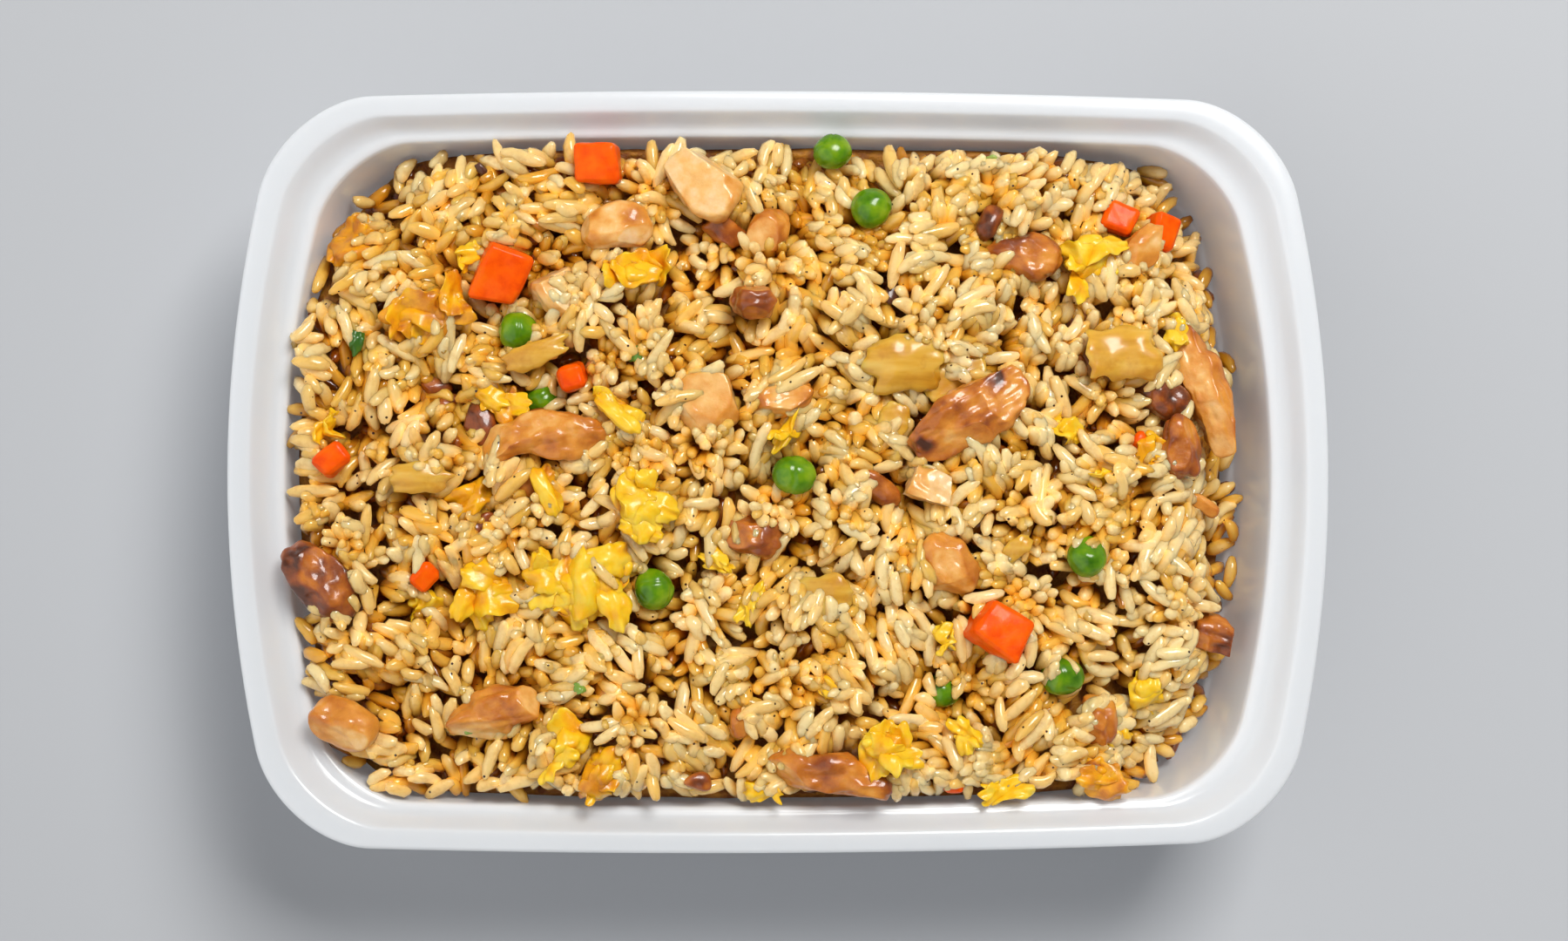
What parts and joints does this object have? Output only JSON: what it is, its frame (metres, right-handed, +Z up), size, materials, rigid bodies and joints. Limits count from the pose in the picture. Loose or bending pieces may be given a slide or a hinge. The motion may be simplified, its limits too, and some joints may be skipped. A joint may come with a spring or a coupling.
{
  "type": "filled takeaway meal tray",
  "caption": "Rectangular white plastic takeaway tray with a wide stepped rim, heaped with fried rice, chicken pieces, egg, diced carrot, peas and onion.",
  "frame": {"origin": "on the table under the middle of the tray", "axes": "+X along the long side, +Y towards the long side at the top of the picture, +Z up out of the tray"},
  "size_m": [0.222, 0.1536, 0.0599],
  "materials": {
    "tray_plastic": "glossy moulded white polypropylene",
    "rice": "moist cooked grains, lightly oiled",
    "chicken": "pan-browned meat",
    "egg": "soft folded scrambled egg",
    "carrot": "moist cooked dice",
    "pea": "moist cooked skin",
    "onion": "soft translucent layer"
  },
  "bodies": {
    "root": {"tray": "tray_plastic", "carrot_1": "carrot", "carrot_2": "carrot", "carrot_3": "carrot", "carrot_4": "carrot", "carrot_5": "carrot", "carrot_6": "carrot", "carrot_7": "carrot", "carrot_8": "carrot", "pea_1": "pea", "pea_2": "pea", "pea_3": "pea", "pea_4": "pea", "pea_5": "pea", "pea_6": "pea", "pea_7": "pea", "pea_8": "pea", "pea_9": "pea", "chicken_1": "chicken", "chicken_2": "chicken", "chicken_3": "chicken", "chicken_4": "chicken", "chicken_5": "chicken", "chicken_6": "chicken", "chicken_7": "chicken", "chicken_8": "chicken", "chicken_9": "chicken", "chicken_10": "chicken", "chicken_11": "chicken", "chicken_12": "chicken", "chicken_13": "chicken", "chicken_14": "chicken", "chicken_15": "chicken", "chicken_16": "chicken", "chicken_17": "chicken", "chicken_18": "chicken", "chicken_19": "chicken", "chicken_20": "chicken", "chicken_21": "chicken", "chicken_22": "chicken", "egg_1": "egg", "egg_2": "egg", "egg_3": "egg", "egg_4": "egg", "egg_5": "egg", "egg_6": "egg", "egg_7": "egg", "egg_8": "egg", "egg_9": "egg", "egg_10": "egg", "egg_11": "egg", "egg_12": "egg", "egg_13": "egg", "onion_1": "onion", "onion_2": "onion", "onion_3": "onion", "onion_4": "onion", "fried_rice": "rice"}
  },
  "joints": []
}
